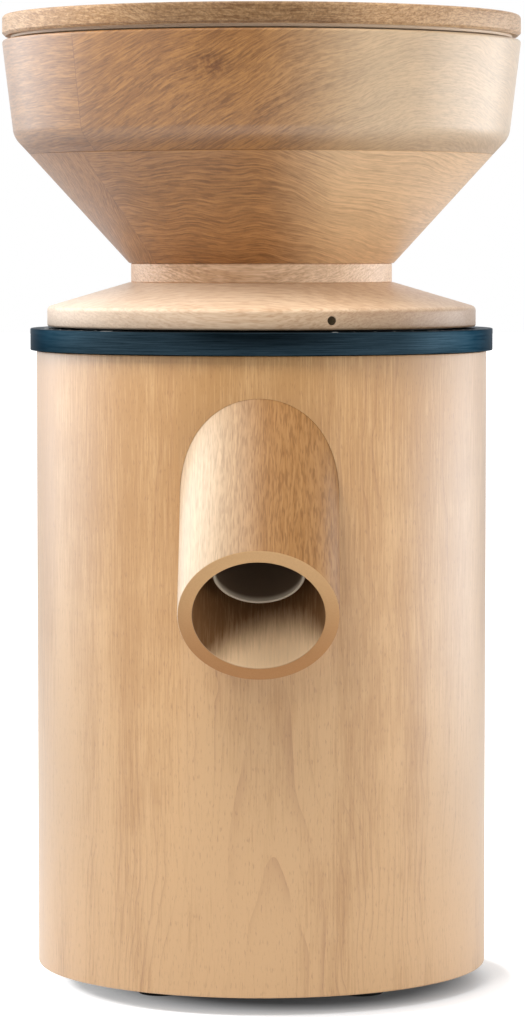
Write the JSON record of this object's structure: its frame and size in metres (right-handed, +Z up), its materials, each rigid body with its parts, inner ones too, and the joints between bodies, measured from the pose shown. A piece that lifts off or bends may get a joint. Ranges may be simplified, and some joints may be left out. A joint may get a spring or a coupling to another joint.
{
  "type": "electric grain mill",
  "caption": "Wooden stone mill for grain: a turned hopper screws down to set the fineness over a round body with a slanted spout.",
  "frame": {"origin": "where the milling axis meets the standing plane, midway between the four feet", "axes": "+Z up along the milling axis; -Y to the front, where the spout points; +X to the right seen from the front"},
  "size_m": [0.2064, 0.2468, 0.3858],
  "materials": {
    "lid_wood": "turned light hardwood, oiled",
    "rim_wood": "turned light hardwood, oiled",
    "cone_wood": "turned light hardwood, oiled",
    "neck_wood": "turned light hardwood, oiled",
    "base_wood": "turned light hardwood, oiled",
    "body_wood": "light hardwood with a fine upright grain, oiled",
    "spout_wood": "light hardwood, oiled",
    "dot_bronze": "darkened bronze",
    "dark_ring": "blue-black, finely brushed round the edge",
    "outlet_plastic": "off-white, smooth",
    "guard_steel": "stainless, brushed",
    "cast_aluminium": "cast, machined faces",
    "screw_steel": "zinc plated",
    "millstone": "coarse ceramic-bound grit",
    "bearing_plastic": "black, moulded",
    "motor_paint": "grey enamel",
    "lamination_steel": "stacked sheet",
    "copper_wire": "enamelled copper",
    "white_plastic": "white, moulded",
    "lead_insulation": "insulated leads",
    "switch_plastic": "black, fine moulded grain",
    "rocker_plastic": "black, slightly glossy",
    "plate_paint": "black powder coat",
    "foot_rubber": "matt black rubber"
  },
  "bodies": {
    "housing": {"top_ring": "dark_ring", "body_shell": "body_wood", "spout": "spout_wood", "outlet_tube": "outlet_plastic", "tie_rods": "screw_steel", "mill_chamber": "cast_aluminium", "chamber_screws": "screw_steel", "wave_spring": "screw_steel", "motor_upper_bell": "cast_aluminium", "motor_mount_screws": "screw_steel", "motor_can": "motor_paint", "stator_core": "lamination_steel", "windings": "copper_wire", "upper_bearing": "screw_steel", "lower_bearing": "screw_steel", "motor_lower_bell": "cast_aluminium", "motor_bolts": "screw_steel", "run_capacitor": "white_plastic", "capacitor_clip": "screw_steel", "terminal_block": "white_plastic", "internal_leads": "lead_insulation", "switch_housing": "switch_plastic", "cord_gland": "switch_plastic", "gland_nut": "switch_plastic", "base_plate": "plate_paint", "rubber_feet": "foot_rubber", "foot_screws": "screw_steel"},
    "lift": {"thrust_ring": "bearing_plastic"},
    "hopper": {"hopper_rim": "rim_wood", "hopper_cone": "cone_wood", "hopper_neck": "neck_wood", "hopper_base": "base_wood", "setting_dot": "dot_bronze", "finger_guard": "guard_steel", "stone_holder": "cast_aluminium", "holder_screws": "screw_steel", "upper_stone": "millstone"},
    "lid": {"lid": "lid_wood"},
    "drive": {"lower_stone": "millstone", "stone_hub": "cast_aluminium", "feed_screw": "guard_steel", "rotor": "lamination_steel", "motor_shaft": "screw_steel", "cooling_fan": "bearing_plastic"},
    "rocker": {"rocker": "rocker_plastic"}
  },
  "joints": [
    {"name": "hopper_lift", "type": "slide", "parent": "housing", "child": "lift", "axis": [0, 0, 1], "range_m": [0, 0.0025], "deforming": ["wave_spring"]},
    {"name": "hopper_turn", "type": "hinge", "parent": "lift", "child": "hopper", "pos_m": [0, 0, 0.2624], "axis": [0, 0, 1], "range_deg": [0, 300]},
    {"name": "lid_lift", "type": "slide", "parent": "hopper", "child": "lid", "axis": [0, 0, 1], "range_m": [0, 0.09]},
    {"name": "mill_spin", "type": "hinge", "parent": "housing", "child": "drive", "pos_m": [0, 0, 0.2161], "axis": [0, 0, 1], "continuous": true},
    {"name": "switch_rock", "type": "hinge", "parent": "housing", "child": "rocker", "pos_m": [0, 0.0861, 0.069], "axis": [1, 0, 0], "range_deg": [0, 14]}
  ],
  "couplings": [
    {"joint": "hopper_lift", "follows": "hopper_turn", "m_per_rad": 0.00047746}
  ]
}
